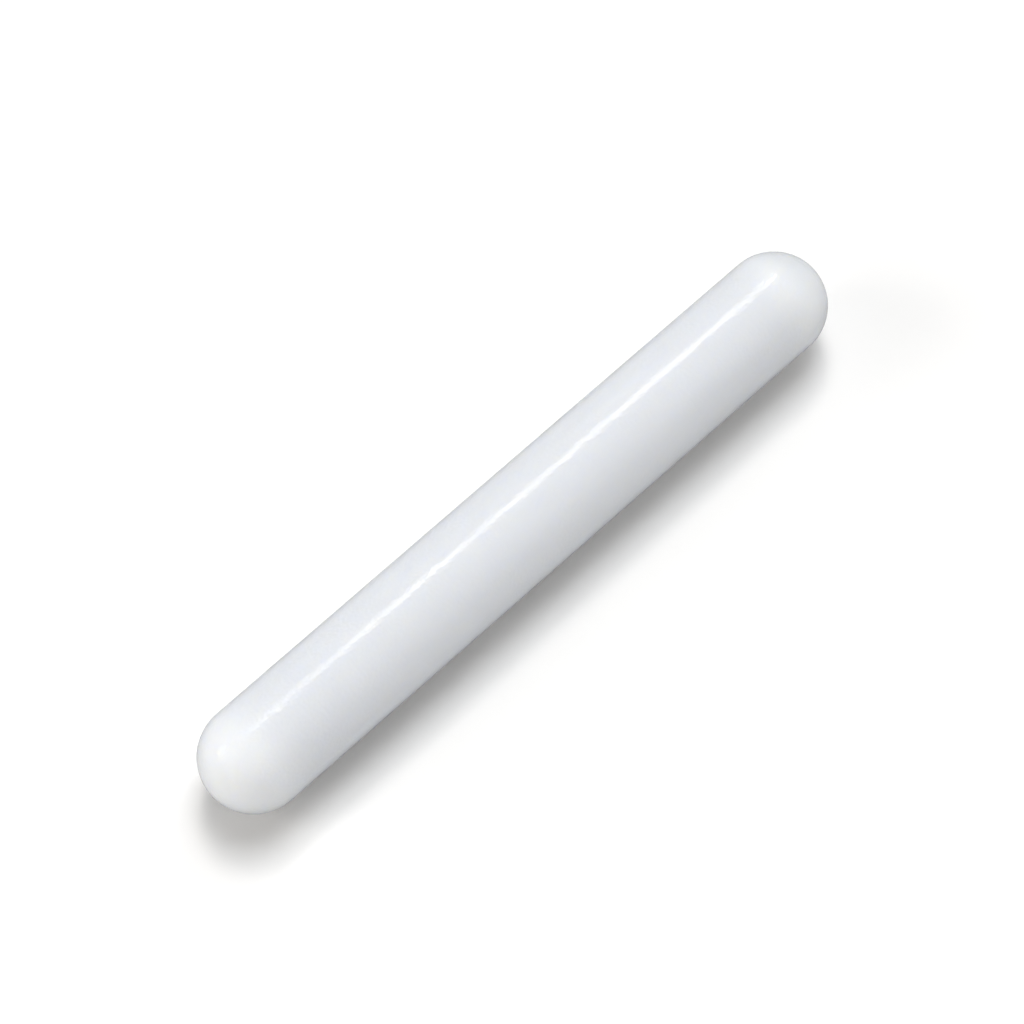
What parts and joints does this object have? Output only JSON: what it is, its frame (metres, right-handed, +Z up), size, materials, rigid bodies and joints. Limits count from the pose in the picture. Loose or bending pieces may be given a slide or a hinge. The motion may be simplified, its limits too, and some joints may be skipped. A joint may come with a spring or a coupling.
{
  "type": "magnetic stir bar",
  "caption": "Smooth white rod with hemispherical ends: a rod magnet sealed in a moulded PTFE jacket, spun by a magnetic stirrer to mix a liquid.",
  "frame": {"origin": "centre of the bar, on its long axis and midway between its tips", "axes": "+X along the bar towards one tip, +Z up as the bar lies on its side, +Y across it"},
  "size_m": [0.06, 0.008, 0.008],
  "materials": {
    "white_ptfe": "smooth moulded PTFE, satin and slightly waxy",
    "magnet_alloy": "cast magnet alloy, ground to diameter, dull grey"
  },
  "bodies": {
    "root": {"jacket": "white_ptfe", "rod_magnet": "magnet_alloy"}
  },
  "joints": []
}
